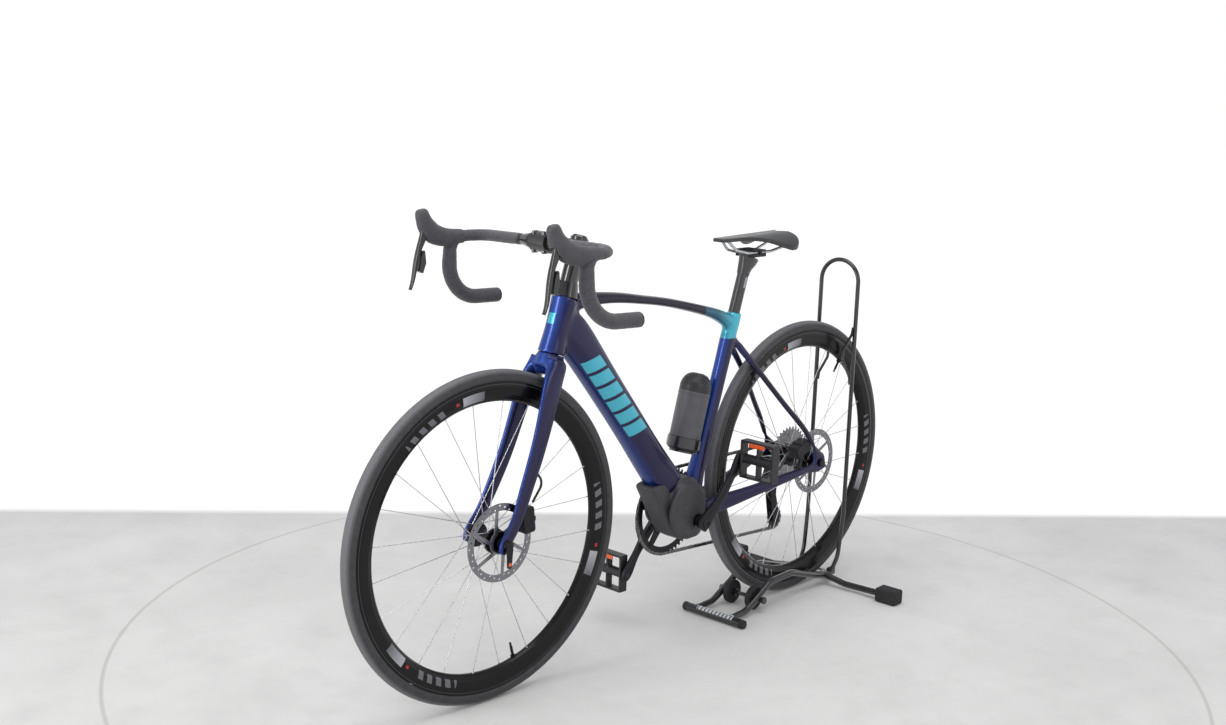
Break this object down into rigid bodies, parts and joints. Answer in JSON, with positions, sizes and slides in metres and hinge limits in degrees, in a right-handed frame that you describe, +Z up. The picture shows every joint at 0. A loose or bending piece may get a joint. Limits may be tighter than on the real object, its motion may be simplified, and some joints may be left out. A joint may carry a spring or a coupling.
{
  "type": "bicycle on stand",
  "caption": "Drop-bar battery-assisted road bicycle held upright by a tubular hoop stand around its rear wheel; wheels, cranks, steering and levers move.",
  "frame": {"origin": "on the floor, in the middle of the object's bounding box; the wheels' middle plane is Y = 0", "axes": "+X the way the bicycle faces, +Y the rider's left, +Z up"},
  "size_m": [1.6967, 0.5306, 0.9853],
  "materials": {
    "stand_black": "gloss black",
    "stand_rubber": "matt rubber",
    "frame_navy": "gloss metallic navy",
    "top_tube_dark": "gloss dark violet",
    "charcoal_matt": "matt charcoal",
    "black_gloss": "gloss black",
    "black_metal": "black anodised",
    "steel": "brushed steel",
    "alu": "satin",
    "tyre": "matt rubber",
    "tape": "soft matt grey",
    "bottle_grey": "satin grey",
    "saddle_black": "gloss black"
  },
  "bodies": {
    "stand": {"stand_hoop": "stand_black", "stand_base": "stand_black", "stand_bar": "stand_black", "stand_feet": "stand_rubber", "stand_ties": "stand_black"},
    "stand_roller_left": {"stand_roller_left": "stand_rubber"},
    "stand_roller_right": {"stand_roller_right": "stand_rubber"},
    "bike_frame": {"head_tube": "frame_navy", "headset_bearings": "steel", "down_tube": "frame_navy", "top_tube": "top_tube_dark", "seat_tube": "frame_navy", "chainstays": "frame_navy", "seatstays": "frame_navy", "motor_unit": "charcoal_matt", "motor_covers": "charcoal_matt", "motor_shroud": "charcoal_matt", "rear_axle": "black_metal", "rear_caliper": "black_metal", "rear_hose": "black_gloss", "bottle_cage": "black_gloss", "derailleur_body": "black_metal", "chain": "steel"},
    "bottle_battery": {"bottle_battery": "bottle_grey"},
    "seat": {"seatpost": "black_gloss", "saddle_clamp": "black_metal", "saddle_rails": "alu", "saddle": "saddle_black"},
    "steering": {"fork": "frame_navy", "spacers": "black_gloss", "stem": "black_gloss", "faceplate": "black_gloss", "handlebar": "black_metal", "bar_tape": "tape", "hoods": "tape", "front_axle": "black_metal", "front_caliper": "black_metal", "front_hose": "black_gloss"},
    "lever_left": {"lever_left": "black_gloss"},
    "lever_right": {"lever_right": "black_gloss"},
    "paddle_left": {"paddle_left": "black_gloss"},
    "paddle_right": {"paddle_right": "black_gloss"},
    "front_wheel": {"front_tyre": "tyre", "front_rim": "black_gloss", "front_spokes": "alu", "front_hub": "black_metal", "front_rotor": "steel"},
    "rear_wheel": {"rear_tyre": "tyre", "rear_rim": "black_gloss", "rear_spokes": "alu", "rear_hub": "black_metal", "rear_rotor": "steel"},
    "cassette": {"cassette": "steel"},
    "crankset": {"crank_arms": "black_metal", "chainring": "black_metal"},
    "pedal_left": {"pedal_left": "black_metal"},
    "pedal_right": {"pedal_right": "black_metal"},
    "derailleur_cage": {"derailleur_cage": "black_metal"},
    "jockey_upper": {"jockey_upper": "charcoal_matt"},
    "jockey_lower": {"jockey_lower": "charcoal_matt"}
  },
  "joints": [
    {"name": "bike_lift_out", "type": "slide", "parent": "stand", "child": "bike_frame", "axis": [0.8, 0, 0.6], "range_m": [0, 0.6]},
    {"name": "steering", "type": "hinge", "parent": "bike_frame", "child": "steering", "pos_m": [0.34397, 0, 0.7], "axis": [-0.3007, 0, 0.9537], "range_deg": [-55, 60]},
    {"name": "front_wheel_spin", "type": "hinge", "parent": "steering", "child": "front_wheel", "pos_m": [0.50746, -0.00209, 0.34099], "axis": [0.0416, 0.999, 0.0131], "continuous": true},
    {"name": "rear_wheel_spin", "type": "hinge", "parent": "bike_frame", "child": "rear_wheel", "pos_m": [-0.5075, 0, 0.341], "axis": [0, 1, 0], "continuous": true},
    {"name": "crank_spin", "type": "hinge", "parent": "bike_frame", "child": "crankset", "pos_m": [-0.0875, 0, 0.269], "axis": [0, 1, 0], "continuous": true},
    {"name": "cassette_spin", "type": "hinge", "parent": "bike_frame", "child": "cassette", "pos_m": [-0.5075, 0, 0.341], "axis": [0, 1, 0], "continuous": true},
    {"name": "pedal_left_spin", "type": "hinge", "parent": "crankset", "child": "pedal_left", "pos_m": [-0.18015, 0, 0.41154], "axis": [0, 1, 0], "continuous": true},
    {"name": "pedal_right_spin", "type": "hinge", "parent": "crankset", "child": "pedal_right", "pos_m": [0.00515, 0, 0.12646], "axis": [0, 1, 0], "continuous": true},
    {"name": "derailleur_cage_swing", "type": "hinge", "parent": "bike_frame", "child": "derailleur_cage", "pos_m": [-0.4835, 0, 0.262], "axis": [0, 1, 0], "range_deg": [-20, 6], "stiffness_Nm_per_rad": 0.6, "springref_deg": 20.05, "deforming": ["chain"]},
    {"name": "jockey_upper_spin", "type": "hinge", "parent": "derailleur_cage", "child": "jockey_upper", "pos_m": [-0.4835, 0, 0.262], "axis": [0, 1, 0], "continuous": true},
    {"name": "jockey_lower_spin", "type": "hinge", "parent": "derailleur_cage", "child": "jockey_lower", "pos_m": [-0.4995, 0, 0.171], "axis": [0, 1, 0], "continuous": true},
    {"name": "seat_height", "type": "slide", "parent": "bike_frame", "child": "seat", "axis": [-0.2957, 0, 0.9553], "range_m": [-0.03, 0.09]},
    {"name": "bottle_battery_slide", "type": "slide", "parent": "bike_frame", "child": "bottle_battery", "axis": [-0.258, 0, 0.9661], "range_m": [0, 0.085]},
    {"name": "brake_lever_left", "type": "hinge", "parent": "steering", "child": "lever_left", "pos_m": [0.52169, 0.19175, 0.93158], "axis": [0.0416, 0.999, 0.0131], "range_deg": [0, 14], "stiffness_Nm_per_rad": 0.4, "springref_deg": -8.59},
    {"name": "brake_lever_right", "type": "hinge", "parent": "steering", "child": "lever_right", "pos_m": [0.50489, -0.21186, 0.92628], "axis": [0.0416, 0.999, 0.0131], "range_deg": [0, 14], "stiffness_Nm_per_rad": 0.4, "springref_deg": -8.59},
    {"name": "shift_paddle_left", "type": "hinge", "parent": "lever_left", "child": "paddle_left", "pos_m": [0.5247, 0.1921, 0.89559], "axis": [0.0416, 0.999, 0.0131], "range_deg": [0, 6], "stiffness_Nm_per_rad": 0.1, "springref_deg": -5.73},
    {"name": "shift_paddle_right", "type": "hinge", "parent": "lever_right", "child": "paddle_right", "pos_m": [0.50789, -0.21152, 0.89029], "axis": [0.0416, 0.999, 0.0131], "range_deg": [0, 6], "stiffness_Nm_per_rad": 0.1, "springref_deg": -5.73},
    {"name": "stand_roller_left_spin", "type": "hinge", "parent": "stand", "child": "stand_roller_left", "pos_m": [-0.31167, 0.00998, 0.03], "axis": [-0.0349, 0.9994, 0], "continuous": true},
    {"name": "stand_roller_right_spin", "type": "hinge", "parent": "stand", "child": "stand_roller_right", "pos_m": [-0.31167, 0.00998, 0.03], "axis": [-0.0349, 0.9994, 0], "continuous": true}
  ],
  "couplings": [
    {"joint": "cassette_spin", "follows": "crank_spin", "ratio": 3.5714},
    {"joint": "jockey_lower_spin", "follows": "crank_spin", "ratio": 4.1667},
    {"joint": "jockey_upper_spin", "follows": "crank_spin", "ratio": -4.1667}
  ]
}
